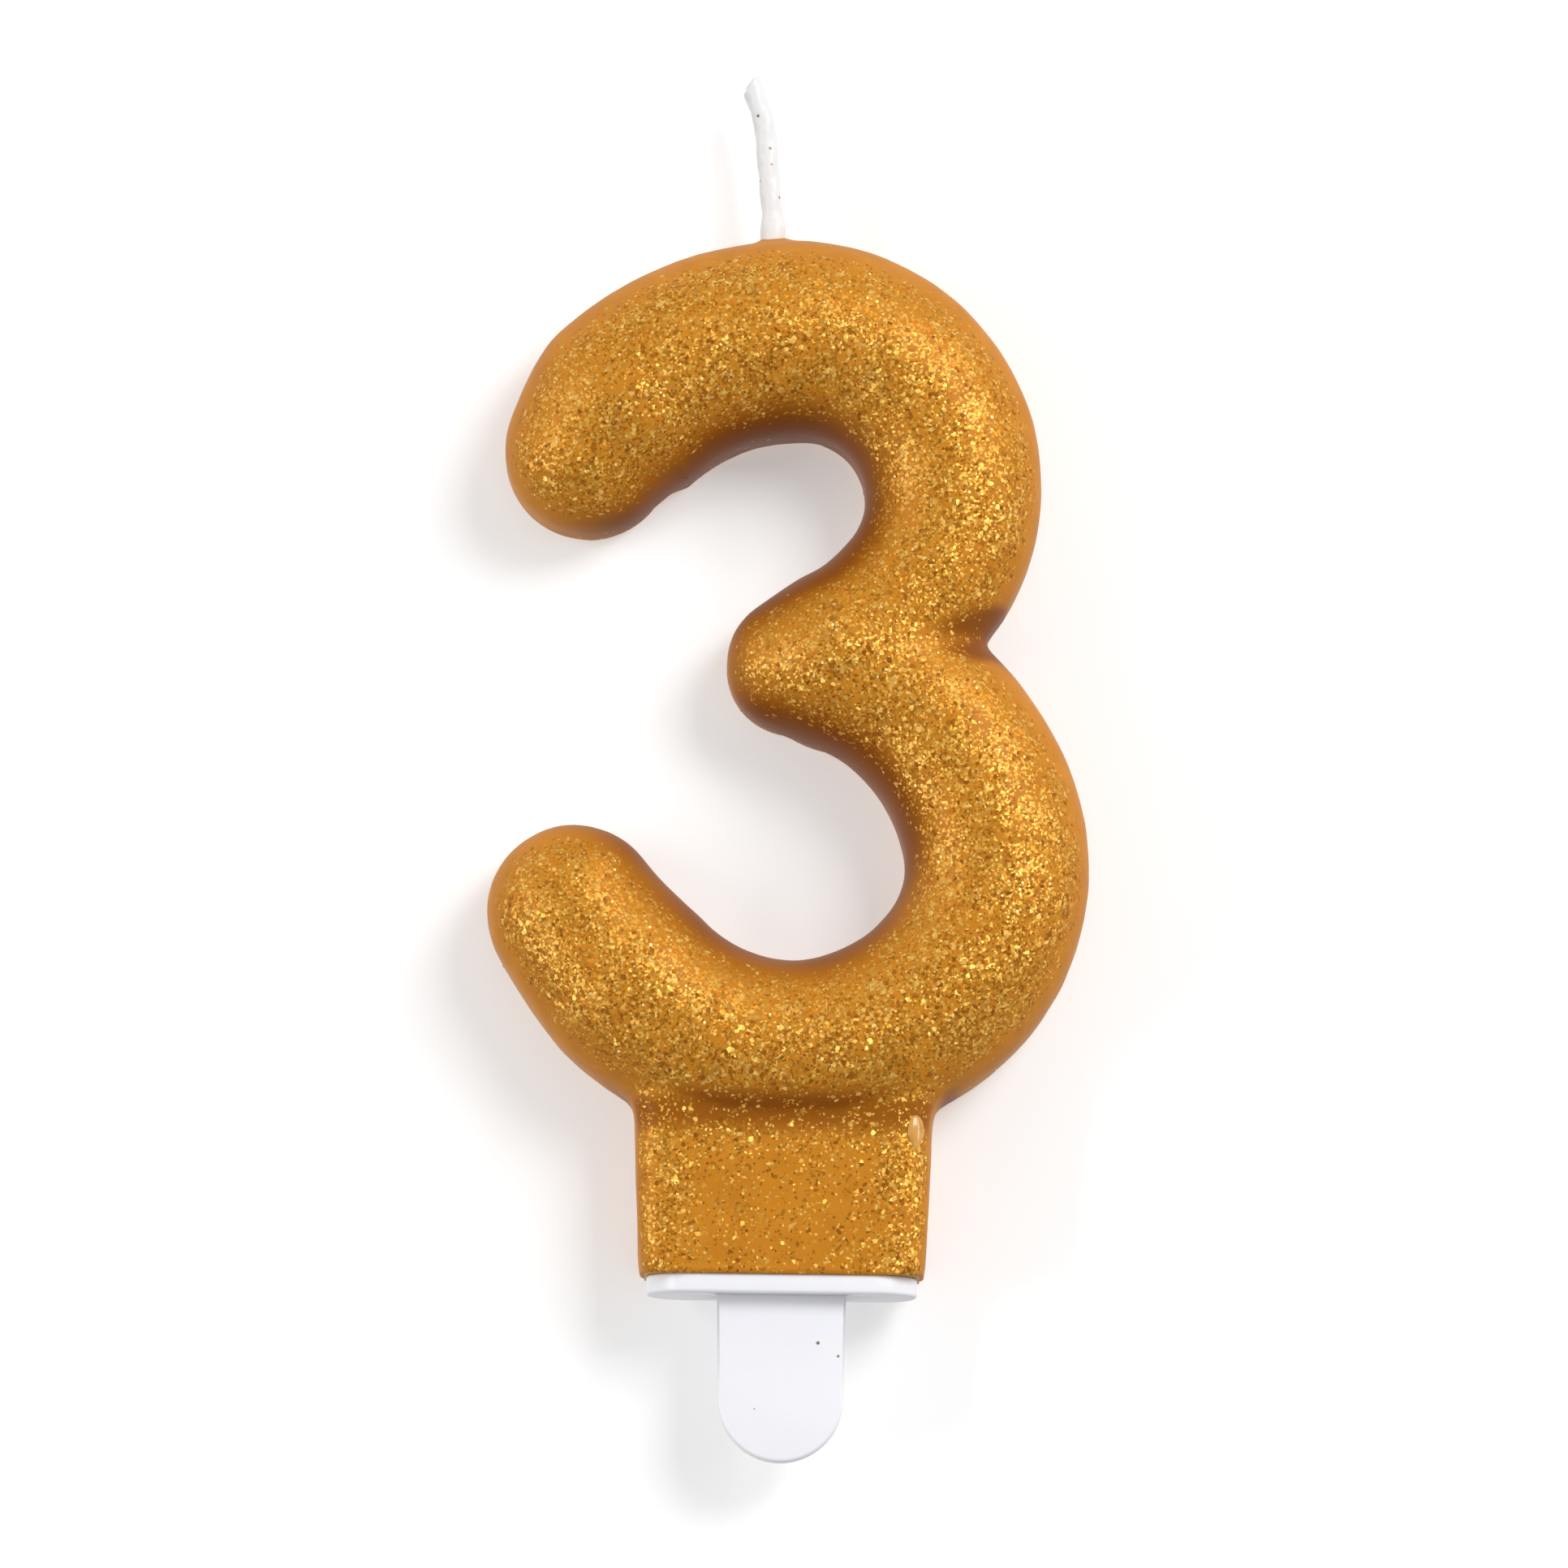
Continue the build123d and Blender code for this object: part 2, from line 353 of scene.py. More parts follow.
def enclosed_shares(surface, place, normal):
    """Shares of the directions out of a spot that meet the figure again, close by and at all, which set how
    much shade is painted there.
    """
    near = 0.0
    far = 0.0
    total = 0.0
    start = place + normal * 0.25 * MM
    for number in range(RAY_COUNT):
        height = 1 - 2 * (number + 0.5) / RAY_COUNT
        width = (1 - height * height) ** 0.5
        turn = number * GOLDEN_ANGLE
        direction = Vector((width * cos(turn), width * sin(turn), height))
        slope = direction.dot(normal)
        if slope > 0.05:
            total += slope
            distance = surface.ray_cast(start, direction, FAR_REACH)[3]
            if distance is not None:
                far += slope
                near += slope * (distance < NEAR_REACH)
    return near / total, far / total


def lacquer_skin(figure):
    """Outside of the coated figure: creases softened and surface rippled as brushed lacquer leaves them, with
    shade painted in the bays and creases.
    """
    bm = remeshed(merged_copy("wax_core", "glitter_coat", "wick_in_wax", "holder_pick"), figure.grid)
    bmesh.ops.bisect_plane(
        bm,
        geom=bm.verts[:] + bm.edges[:] + bm.faces[:],
        plane_co=(0, 0, TRAY_TOP + 0.02 * MM),
        plane_no=(0, 0, -1),
        clear_outer=True,
    )
    keep_largest_island(bm)
    bmesh.ops.recalc_face_normals(bm, faces=bm.faces)
    soften(bm, [vertex for vertex in bm.verts if not vertex.is_boundary], 8)
    wax_mesh = merged_copy("wax_core")
    wax = BVHTree.FromBMesh(wax_mesh)
    wax_mesh.free()
    soften_around(bm, wax, JUNCTION, 6.6 * MM, CREASE_PASSES)
    for x, z in BAY_EDGES:
        soften_around(bm, wax, Vector((x, 0, z)) * MM, 4.5 * MM, CREASE_PASSES, depth_share=0.0)
    out, depth, height = FOOT_SHOULDER
    for side in (-1, 1):
        shoulder = Vector((out * side, depth, height)) * MM
        soften_around(bm, wax, shoulder, 3.0 * MM, SHOULDER_PASSES)
    bm.normal_update()
    for vertex in bm.verts:
        if not vertex.is_boundary:
            swell = noise.noise(vertex.co / (2.6 * MM)) + 0.4 * noise.noise(vertex.co / (1.1 * MM))
            vertex.co += vertex.normal * figure.ripple * swell
            vertex.co.y -= vertex.normal.y * FLAKE_ROOM
    bm.normal_update()
    surface = BVHTree.FromBMesh(bm)
    share = bm.verts.layers.float.new("glitter")
    painted_shade = bm.verts.layers.float.new("painted_shade")
    shares = np.array([enclosed_shares(surface, vertex.co, vertex.normal) for vertex in bm.verts])
    bm.verts.index_update()
    pairs = np.array([[vertex.index for vertex in edge.verts] for edge in bm.edges])
    near, far = evened(pairs, shares[:, 0], 10), evened(pairs, shares[:, 1], 60)
    # Painted shade: where the figure closes a spot in, near or far, and in the crease under the bowl, a value
    # is stored that darkens the lacquer's colour as shade would, and the glitter is thinned there too.
    for number, vertex in enumerate(bm.verts):
        crease = max(smooth_step(0.01, 0.11, near[number]), painted_shade_under_bowl(vertex.co, vertex.normal))
        bay = smooth_step(0.01, 0.27, far[number])
        vertex[painted_shade] = max(crease, bay)
        cover = glitter_share(vertex.co, vertex.normal)
        vertex[share] = cover * (1 - 0.85 * crease) * (1 - 0.55 * bay)
    bmesh.ops.solidify(bm, geom=bm.faces[:], thickness=figure.wall)
    return bm


def lacquer_material(figure):
    """Brushed glitter lacquer: metallised film grains set at all angles in clear amber lacquer.

    Each grain mirrors its own patch of light, so the surface glints in points rather than in one sheen.
    The film of lacquer over the grains adds a soft, pale gloss. The amber is painted darker, as shade, in the
    bays and creases, and darker at random in soft clouds.
    """
    material, tree, place = new_material("brushed_glitter_lacquer")
    share = add_node(tree, "ShaderNodeAttribute", {"attribute_name": "glitter"}).outputs["Fac"]
    cloud = add_node(
        tree, "ShaderNodeTexNoise", {}, {"Vector": place, "Scale": 0.6, "Detail": 4.0, "Roughness": 0.6}
    ).outputs["Fac"]
    painted_shade = add_node(tree, "ShaderNodeAttribute", {"attribute_name": "painted_shade"}).outputs["Fac"]
    shade = add_node(
        tree, "ShaderNodeMapRange", {}, {"Value": cloud, "From Min": 0.3, "From Max": 0.7, "To Max": 0.25}
    ).outputs["Result"]
    # Painted shade: the amber darkens towards the shade colour where the skin carries painted shade, and at
    # random in soft clouds.
    depth = add_node(tree, "ShaderNodeMath", {"operation": "MAXIMUM"}, {0: painted_shade, 1: shade}).outputs[0]
    colour = add_node(
        tree,
        "ShaderNodeMix",
        {"data_type": "RGBA"},
        {0: depth, 6: tuple(figure.lacquer), 7: tuple(figure.painted_shade_lacquer)},
    ).outputs[2]
    normal = add_node(tree, "ShaderNodeNewGeometry").outputs["Normal"]
    metal = 0.0
    for width, density, lean in ((figure.dust_width, 0.7, 0.35), (figure.glitter_width, 0.3, 0.58)):
        grains = add_node(tree, "ShaderNodeTexVoronoi", {}, {"Vector": place, "Scale": MM / width})
        chance = add_node(tree, "ShaderNodeSeparateXYZ", {}, {"Vector": grains.outputs["Color"]})
        cover = add_node(tree, "ShaderNodeMath", {"operation": "MULTIPLY"}, {0: share, 1: density})
        present = add_node(
            tree, "ShaderNodeMath", {"operation": "LESS_THAN"}, {0: chance.outputs["X"], 1: cover.outputs[0]}
        ).outputs[0]
        shuffled = add_node(
            tree,
            "ShaderNodeVectorMath",
            {"operation": "MULTIPLY"},
            {0: grains.outputs["Color"], 1: (17.0, 13.0, 11.0)},
        ).outputs[0]
        dice = add_node(tree, "ShaderNodeVectorMath", {"operation": "FRACTION"}, {0: shuffled}).outputs[0]
        centred = add_node(
            tree, "ShaderNodeVectorMath", {"operation": "SUBTRACT"}, {0: dice, 1: (0.5, 0.5, 0.5)}
        ).outputs[0]
        amount = add_node(tree, "ShaderNodeMath", {"operation": "MULTIPLY"}, {0: present, 1: lean}).outputs[0]
        turn = add_node(
            tree, "ShaderNodeVectorMath", {"operation": "SCALE"}, {0: centred, "Scale": amount}
        ).outputs[0]
        tilted = add_node(tree, "ShaderNodeVectorMath", {"operation": "ADD"}, {0: normal, 1: turn}).outputs[0]
        normal = add_node(tree, "ShaderNodeVectorMath", {"operation": "NORMALIZE"}, {0: tilted}).outputs[0]
        tint = add_node(
            tree,
            "ShaderNodeValToRGB",
            {},
            {"Fac": add_node(tree, "ShaderNodeSeparateXYZ", {}, {"Vector": dice}).outputs["Z"]},
            [(0.0, "A8661A"), (1.0, "F4C566"), (0.4, "BE7E24"), (0.75, "D69F42")],
        ).outputs["Color"]
        colour = add_node(
            tree, "ShaderNodeMix", {"data_type": "RGBA"}, {0: present, 6: colour, 7: tint}
        ).outputs[2]
        metal = add_node(
            tree, "ShaderNodeMath", {"operation": "MAXIMUM"}, {0: metal, 1: present}
        ).outputs[0]
    metallic = add_node(tree, "ShaderNodeMath", {"operation": "MULTIPLY"}, {0: metal, 1: 0.6}).outputs[0]
    shader = add_node(
        tree,
        "ShaderNodeBsdfPrincipled",
        {},
        {
            "Base Color": colour,
            "Metallic": metallic,
            "IOR": 1.45,
            "Specular IOR Level": 0.1,
            "Roughness": 0.47,
            "Normal": normal,
            "Coat Weight": 0.05,
            "Coat Roughness": 0.3,
            "Coat IOR": 1.5,
        },
    )
    show(tree, shader)
    return material


def flake_material():
    """Metallised polyester film, die-cut: a flat mirror-bright gold that glints or goes dark as it turns."""
    material, tree, place = new_material("die_cut_gold_film")
    tint = add_node(tree, "ShaderNodeAttribute", {"attribute_name": "tint"}).outputs["Fac"]
    colour = add_node(
        tree, "ShaderNodeValToRGB", {}, {"Fac": tint}, [(0.0, "C68C30"), (1.0, "FFE09A"), (0.5, "DFA94C")]
    ).outputs["Color"]
    grain = add_node(tree, "ShaderNodeTexNoise", {}, {"Vector": place, "Scale": 12.0}).outputs["Fac"]
    roughness = add_node(
        tree, "ShaderNodeMapRange", {}, {"Value": grain, "To Min": 0.42, "To Max": 0.62}
    ).outputs["Result"]
    shader = add_node(
        tree,
        "ShaderNodeBsdfPrincipled",
        {},
        {"Base Color": colour, "Metallic": 1.0, "Roughness": roughness},
    )
    show(tree, shader)
    return material


def turned_to(direction):
    """Rotation that takes +Z to a direction."""
    return direction.to_track_quat("Z", "Y").to_matrix().to_4x4()


def add_flake(bm, tint, matrix, radius, shade):
    """Add a hexagonal flake and its tint, from 0 to 1."""
    made = bmesh.ops.create_circle(bm, cap_ends=True, radius=radius, segments=6, matrix=matrix)
    for vertex in made["verts"]:
        vertex[tint] = shade


def loose_flakes(skin, figure):
    """Hexagonal flakes that stand a little proud of the lacquer, thickest where the glitter is."""
    mesh = skin.data
    attribute = mesh.attributes["glitter"].data
    weights = np.array(
        [face.area * attribute[face.vertices[0]].value ** 1.5 for face in mesh.polygons]
    )
    draw = np.random.default_rng(SEED)
    chosen = draw.choice(len(weights), size=figure.flake_count, p=weights / weights.sum())
    bm = bmesh.new()
    tint = bm.verts.layers.float.new("tint")
    for number in chosen:
        face = mesh.polygons[int(number)]
        normal = face.normal
        lean = Vector(draw.normal(0, 0.18, 3))
        across = Vector(draw.uniform(-0.5, 0.5, 3)) * figure.grid
        facing = (normal + lean).normalized()
        spot = face.center + across - normal * across.dot(normal) + normal * 0.012 * MM
        radius = figure.flake_width / 2 * draw.uniform(0.6, 1.15)
        turn = Matrix.Rotation(draw.uniform(0, pi), 4, "Z")
        add_flake(bm, tint, Matrix.Translation(spot) @ turned_to(facing) @ turn, radius, draw.uniform())
    bmesh.ops.solidify(bm, geom=bm.faces[:], thickness=0.02 * MM)
    return bm


def draw_along(bm, face, stations):
    """Extrude a face that lies at the first station through the rest of them."""
    for before, after in zip(stations, stations[1:]):
        made = bmesh.ops.extrude_face_region(bm, geom=[face])["geom"]
        face = next(part for part in made if isinstance(part, bmesh.types.BMFace))
        moved = [part for part in made if isinstance(part, bmesh.types.BMVert)]
        bmesh.ops.transform(bm, matrix=after @ before.inverted(), verts=moved)
    return face


WICK_LEAN = radians(5.5)
WICK_TIP_LEAN = radians(20.0)
WICK_STRAIGHT = 5.5 * MM
WICK_BEND_RADIUS = 4.0 * MM
WICK_UPPER = 1.8 * MM
WICK_CUT = radians(35.0)
WICK_ROOT = 1.1 * MM


def wick_stations(step):
    """Places across the wick's line: straight up from the wax, round the bend and on past the tip."""
    stations = []
    place = HINGE - WICK_ROOT * Vector((0, 0, 1))
    bend = WICK_BEND_RADIUS * (WICK_TIP_LEAN - WICK_LEAN)
    runs = (
        (WICK_ROOT, 0.0, 0.0),
        (WICK_STRAIGHT, WICK_LEAN, WICK_LEAN),
        (bend, WICK_LEAN, WICK_TIP_LEAN),
        (WICK_UPPER + 0.4 * MM, WICK_TIP_LEAN, WICK_TIP_LEAN),
    )
    for length, first, last in runs:
        steps = max(round(length / step), 2)
        for number in range(steps):
            lean = first + (last - first) * (number + 0.5) / steps
            stations.append(Matrix.Translation(place) @ Matrix.Rotation(-lean, 4, "Y"))
            place = place + Vector((-sin(lean), 0, cos(lean))) * length / steps
    return stations


def wick_tip_centre():
    """Middle of the wick's snipped end."""
    place = HINGE + WICK_STRAIGHT * Vector((-sin(WICK_LEAN), 0, cos(WICK_LEAN)))
    middle_lean = (WICK_LEAN + WICK_TIP_LEAN) / 2
    chord = 2 * WICK_BEND_RADIUS * sin((WICK_TIP_LEAN - WICK_LEAN) / 2)
    place = place + chord * Vector((-sin(middle_lean), 0, cos(middle_lean)))
    return place + WICK_UPPER * Vector((-sin(WICK_TIP_LEAN), 0, cos(WICK_TIP_LEAN)))


def plied_cord(wick, ply_radius, ply_offset, grid, trim):
    """Three plies twisted about the wick's line, fused, and snipped at a slant, trim short of the tip."""
    bm = bmesh.new()
    step = 0.22 * MM
    stations = wick_stations(step)
    turning = 2 * pi * step / wick.lay
    twisted = []
    for number, station in enumerate(stations):
        flare = 1 + 0.22 * (1 - smooth_step(0.9 * MM, 2.0 * MM, number * step))
        turn = Matrix.Rotation(turning * number, 4, "Z")
        twisted.append(station @ turn @ Matrix.Diagonal((flare, flare, 1, 1)))
    for ply in range(3):
        offset = Matrix.Rotation(2 * pi * ply / 3, 4, "Z") @ Matrix.Translation((ply_offset, 0, 0))
        ring = bmesh.ops.create_circle(
            bm, cap_ends=True, radius=ply_radius, segments=12, matrix=twisted[0] @ offset
        )
        draw_along(bm, ring["verts"][0].link_faces[0], twisted)
    bmesh.ops.recalc_face_normals(bm, faces=bm.faces)
    bm = remeshed(bm, grid)
    soften(bm, bm.verts[:], 6)
    cut_lean = WICK_TIP_LEAN + WICK_CUT
    cut_normal = Vector((-sin(cut_lean), 0, cos(cut_lean)))
    cut = bmesh.ops.bisect_plane(
        bm,
        geom=bm.verts[:] + bm.edges[:] + bm.faces[:],
        plane_co=wick_tip_centre() - cut_normal * trim,
        plane_no=cut_normal,
        clear_outer=True,
    )
    rim = [part for part in cut["geom_cut"] if isinstance(part, bmesh.types.BMEdge)]
    bmesh.ops.holes_fill(bm, edges=rim)
    bmesh.ops.recalc_face_normals(bm, faces=bm.faces)
    return bm


def white_wax_material(wick):
    """Paraffin over cotton, dipped: milky white, softly glossy, with the plies' ridges just showing."""
    material, tree, place = new_material("dipped_white_wick_wax")
    streaks = add_node(
        tree, "ShaderNodeTexNoise", {}, {"Vector": place, "Scale": 2.2, "Detail": 3.0}
    ).outputs["Fac"]
    colour = add_node(
        tree,
        "ShaderNodeMix",
        {"data_type": "RGBA"},
        {0: streaks, 6: hex_linear("E2E2E2"), 7: tuple(wick.wax)},
    ).outputs[2]
    bump = add_node(
        tree, "ShaderNodeBump", {}, {"Height": streaks, "Strength": 0.4, "Distance": 0.05 * MM}
    ).outputs["Normal"]
    shader = add_node(
        tree,
        "ShaderNodeBsdfPrincipled",
        {},
        {
            "Base Color": colour,
            "Roughness": 0.42,
            "IOR": 1.44,
            "Normal": bump,
            "Subsurface Weight": 0.3,
            "Subsurface Radius": (0.5, 0.4, 0.3),
            "Subsurface Scale": 0.3 * MM,
        },
    )
    show(tree, shader)
    return material


def cotton_material(wick):
    """Cotton yarn, twisted: matt off-white with fine fibres running along it."""
    material, tree, place = new_material("twisted_cotton_yarn")
    fibres = add_node(
        tree,
        "ShaderNodeTexNoise",
        {},
        {
            "Vector": add_node(
                tree, "ShaderNodeVectorMath", {"operation": "MULTIPLY"}, {0: place, 1: (1.0, 1.0, 0.2)}
            ).outputs[0],
            "Scale": 14.0,
            "Detail": 3.0,
        },
    ).outputs["Fac"]
    colour = add_node(
        tree,
        "ShaderNodeMix",
        {"data_type": "RGBA"},
        {0: fibres, 6: hex_linear("E4E0D4"), 7: tuple(wick.cotton)},
    ).outputs[2]
    bump = add_node(
        tree, "ShaderNodeBump", {}, {"Height": fibres, "Strength": 0.8, "Distance": 0.04 * MM}
    ).outputs["Normal"]
    shader = add_node(
        tree,
        "ShaderNodeBsdfPrincipled",
        {},
        {"Base Color": colour, "Roughness": 0.85, "IOR": 1.5, "Normal": bump, "Sheen Weight": 0.2},
    )
    show(tree, shader)
    return material


def cast_wax_material(figure):
    """Dyed paraffin, cast: dull golden and slightly cloudy."""
    material, tree, place = new_material("cast_gold_wax")
    cloud = add_node(
        tree, "ShaderNodeTexNoise", {}, {"Vector": place, "Scale": 0.5, "Detail": 5.0}
    ).outputs["Fac"]
    colour = add_node(
        tree,
        "ShaderNodeMix",
        {"data_type": "RGBA"},
        {0: cloud, 6: hex_linear("B9802C"), 7: tuple(figure.wax)},
    ).outputs[2]
    bump = add_node(
        tree, "ShaderNodeBump", {}, {"Height": cloud, "Strength": 0.3, "Distance": 0.1 * MM}
    ).outputs["Normal"]
    shader = add_node(
        tree,
        "ShaderNodeBsdfPrincipled",
        {},
        {
            "Base Color": colour,
            "Roughness": 0.5,
            "IOR": 1.44,
            "Normal": bump,
            "Subsurface Weight": 0.25,
            "Subsurface Scale": 1.0 * MM,
        },
    )
    show(tree, shader)
    return material


def plastic_material(holder):
    """Polystyrene, injection moulded: cool white, evenly satin from a lightly etched mould."""
    material, tree, place = new_material("moulded_white_polystyrene")
    etch = add_node(
        tree, "ShaderNodeTexNoise", {}, {"Vector": place, "Scale": 5.0, "Detail": 4.0, "Roughness": 0.65}
    ).outputs["Fac"]
    flow = add_node(
        tree, "ShaderNodeTexNoise", {}, {"Vector": place, "Scale": 0.35, "Detail": 2.0}
    ).outputs["Fac"]
    colour = add_node(
        tree,
        "ShaderNodeMix",
        {"data_type": "RGBA"},
        {0: flow, 6: hex_linear("EFEFF6"), 7: tuple(holder.plastic)},
    ).outputs[2]
    roughness = add_node(
        tree, "ShaderNodeMapRange", {}, {"Value": etch, "To Min": 0.3, "To Max": 0.46}
    ).outputs["Result"]
    bump = add_node(
        tree, "ShaderNodeBump", {}, {"Height": etch, "Strength": 0.25, "Distance": 0.03 * MM}
    ).outputs["Normal"]
    shader = add_node(
        tree,
        "ShaderNodeBsdfPrincipled",
        {},
        {
            "Base Color": colour,
            "Roughness": roughness,
            "IOR": 1.59,
            "Normal": bump,
            "Subsurface Weight": 0.15,
            "Subsurface Scale": 0.6 * MM,
        },
    )
    show(tree, shader)
    return material


def faces_between(bm, low, high):
    """Faces whose middles lie in a box."""
    return [
        face
        for face in bm.faces
        if all(a - 1e-7 <= b <= c + 1e-7 for a, b, c in zip(low, face.calc_center_median(), high))
    ]


def moulded_holder(holder):
    """Tray with the stake below and the tongue above, one moulding with rounded edges."""
    tray_depth = 5.9 * MM
    stake_half_width = 3.5 * MM
    tongue_half_width = 3.2 * MM
    plate_half = 0.7 * MM
    bm = bmesh.new()
    size = Matrix.Diagonal((HOLDER_HIGH.x - HOLDER_LOW.x, tray_depth, TRAY_TOP, 1))
    bmesh.ops.create_cube(bm, size=1.0, matrix=Matrix.Translation((0, 0, TRAY_TOP / 2)) @ size)
    uprights = [edge for edge in bm.edges if abs(edge.verts[0].co.z - edge.verts[1].co.z) > 0.5 * TRAY_TOP]
    bmesh.ops.bevel(
        bm, geom=uprights, offset=holder.corner, affect="EDGES", segments=10, profile=0.5, material=-1
    )
    cuts = [((x, 0, 0), (1, 0, 0)) for x in (-stake_half_width, -tongue_half_width)]
    cuts += [((x, 0, 0), (1, 0, 0)) for x in (tongue_half_width, stake_half_width)]
    cuts += [((0, MIDDLE_DEPTH + y, 0), (0, 1, 0)) for y in (-plate_half, plate_half)]
    for point, normal in cuts:
        bmesh.ops.bisect_plane(
            bm, geom=bm.verts[:] + bm.edges[:] + bm.faces[:], plane_co=point, plane_no=normal
        )
    plate_low, plate_high = MIDDLE_DEPTH - plate_half, MIDDLE_DEPTH + plate_half
    root = faces_between(bm, (-stake_half_width, plate_low, 0), (stake_half_width, plate_high, 0))
    crown = faces_between(
        bm, (-tongue_half_width, plate_low, TRAY_TOP), (tongue_half_width, plate_high, TRAY_TOP)
    )
    tip_half_width = 3.35 * MM
    for faces, rise, narrow in (
        (root, HOLDER_LOW.z, tip_half_width / stake_half_width),
        (crown, HOLDER_HIGH.z - TRAY_TOP, 1.0),
    ):
        made = bmesh.ops.extrude_face_region(bm, geom=faces)["geom"]
        moved = [part for part in made if isinstance(part, bmesh.types.BMVert)]
        bmesh.ops.translate(bm, verts=moved, vec=(0, 0, rise))
        bmesh.ops.scale(bm, verts=moved, vec=(narrow, 1, 1))
    bmesh.ops.dissolve_limit(bm, angle_limit=radians(0.5), verts=bm.verts, edges=bm.edges)
    for end, corner in ((HOLDER_LOW.z, tip_half_width * 0.998), (HOLDER_HIGH.z, 1.2 * MM)):
        corners = []
        for edge in bm.edges:
            first, last = edge.verts
            level = abs(first.co.z - end) < 1e-6 and abs(last.co.z - end) < 1e-6
            if level and abs(first.co.x - last.co.x) < 1e-6:
                corners.append(edge)
        bmesh.ops.bevel(
            bm, geom=corners, offset=corner, affect="EDGES", segments=16, profile=0.5, material=-1
        )
    bmesh.ops.remove_doubles(bm, verts=bm.verts, dist=0.02 * MM)
    sharp = [edge for edge in bm.edges if edge.calc_face_angle(0) > radians(40)]
    bmesh.ops.bevel(
        bm, geom=sharp, offset=holder.edge, affect="EDGES", segments=4, profile=0.5, material=-1,
        clamp_overlap=True,
    )
    bmesh.ops.triangulate(bm, faces=[face for face in bm.faces if len(face.verts) > 4])
    return bm


def surface_spot(piece, x, z):
    """Place and normal where a line from the front at x and z millimetres first meets a piece."""
    bm = bmesh.new()
    bm.from_mesh(piece.data)
    surface = BVHTree.FromBMesh(bm)
    bm.free()
    place, normal, _, _ = surface.ray_cast(Vector((x * MM, -0.05, z * MM)), Vector((0, 1, 0)))
    return place, normal


def lacquer_drip(skin):
    """Bead of lacquer that set as a flat teardrop on the foot's front edge."""
    place, normal = surface_spot(skin, *DRIP_SPOT)
    bm = bmesh.new()
    bmesh.ops.create_uvsphere(bm, u_segments=28, v_segments=18, radius=1.0)
    for vertex in bm.verts:
        vertex.co.x *= 1 - 0.45 * smooth_step(0.0, 1.0, -vertex.co.y)
    size = Matrix.Diagonal((0.48 * MM, 0.96 * MM, 0.18 * MM, 1))
    matrix = Matrix.Translation(place) @ turned_to(normal) @ size
    bmesh.ops.transform(bm, matrix=matrix, verts=bm.verts)
    return bm


def bead_material():
    """Amber lacquer, pooled and set clear: glassy, and paler than the glittered coat round it."""
    material, tree, place = new_material("pooled_clear_lacquer")
    cloud = add_node(
        tree, "ShaderNodeTexNoise", {}, {"Vector": place, "Scale": 1.6, "Detail": 2.0}
    ).outputs["Fac"]
    colour = add_node(
        tree, "ShaderNodeValToRGB", {}, {"Fac": cloud}, [(0.3, "C98A34"), (0.7, "DDA655")]
    ).outputs["Color"]
    shader = add_node(
        tree,
        "ShaderNodeBsdfPrincipled",
        {},
        {"Base Color": colour, "Roughness": 0.22, "IOR": 1.45, "Coat Weight": 0.5, "Coat Roughness": 0.08},
    )
    show(tree, shader)
    return material


def stray_flakes(piece, spots):
    """Single glitter flakes lying on a piece at (x, z, width) in millimetres."""
    bm = bmesh.new()
    tint = bm.verts.layers.float.new("tint")
    for number, (x, z, width) in enumerate(spots):
        place, normal = surface_spot(piece, x, z)
        matrix = Matrix.Translation(place + normal * 0.015 * MM) @ turned_to(normal)
        turn = Matrix.Rotation(number * GOLDEN_ANGLE, 4, "Z")
        add_flake(bm, tint, matrix @ turn, width / 2 * MM, (number % 3) / 2)
    bmesh.ops.solidify(bm, geom=bm.faces[:], thickness=0.03 * MM)
    return bm


def stray_material():
    """Metallised film flake under a skin of white wax or dust: dull greyish bronze rather than bright."""
    material, tree, _ = new_material("stray_gold_film")
    tint = add_node(tree, "ShaderNodeAttribute", {"attribute_name": "tint"}).outputs["Fac"]
    colour = add_node(
        tree, "ShaderNodeValToRGB", {}, {"Fac": tint}, [(0.0, "857B68"), (1.0, "B89A68")]
    ).outputs["Color"]
    shader = add_node(
        tree, "ShaderNodeBsdfPrincipled", {}, {"Base Color": colour, "Metallic": 0.4, "Roughness": 0.5}
    )
    show(tree, shader)
    return material


class CANDLE_OT_figure(bpy.types.Operator):
    """Make the glitter lacquer over the numeral and its foot, with the flakes that stand proud of it"""

    bl_idname = "candle.figure"
    bl_label = "Glitter numeral"

    def execute(self, context):
        figure = context.scene.candle_figure
        skin = finish_piece(
            lacquer_skin(figure), "glitter_skin", lacquer_material(figure), "figure"
        )
        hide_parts("glitter_coat")
        flakes = loose_flakes(skin, figure)
        finish_piece(flakes, "loose_flakes", flake_material(), "figure", smooth=False)
        finish_piece(lacquer_drip(skin), "lacquer_drip", bead_material(), "figure")
        frame["nodes"]["wax_core"].data.materials.clear()
        frame["nodes"]["wax_core"].data.materials.append(cast_wax_material(figure))
        return {"FINISHED"}


class CANDLE_OT_wick(bpy.types.Operator):
    """Make the waxed cotton wick that stands out of the numeral, and finish the wick inside it"""

    bl_idname = "candle.wick"
    bl_label = "Wick"

    def execute(self, context):
        wick = context.scene.candle_wick
        cotton = cotton_material(wick)
        frame["nodes"]["wick_in_wax"].data.materials.clear()
        frame["nodes"]["wick_in_wax"].data.materials.append(cotton)
        yarn = plied_cord(wick, ply_radius=0.2 * MM, ply_offset=0.2 * MM, grid=0.05 * MM, trim=0.0)
        core = finish_piece(yarn, "wick_cotton", cotton)
        wax = plied_cord(wick, wick.ply_radius, wick.ply_offset, grid=0.07 * MM, trim=0.12 * MM)
        coat = finish_piece(wax, "wick_wax", white_wax_material(wick))
        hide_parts("wick_tip")
        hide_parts("wick_wax_skin")
        for piece in (core, coat):
            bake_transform(piece)
        flakes = stray_flakes(coat, WICK_FLAKES)
        finish_piece(flakes, "wick_flakes", stray_material(), "wick_end", smooth=False)
        return {"FINISHED"}


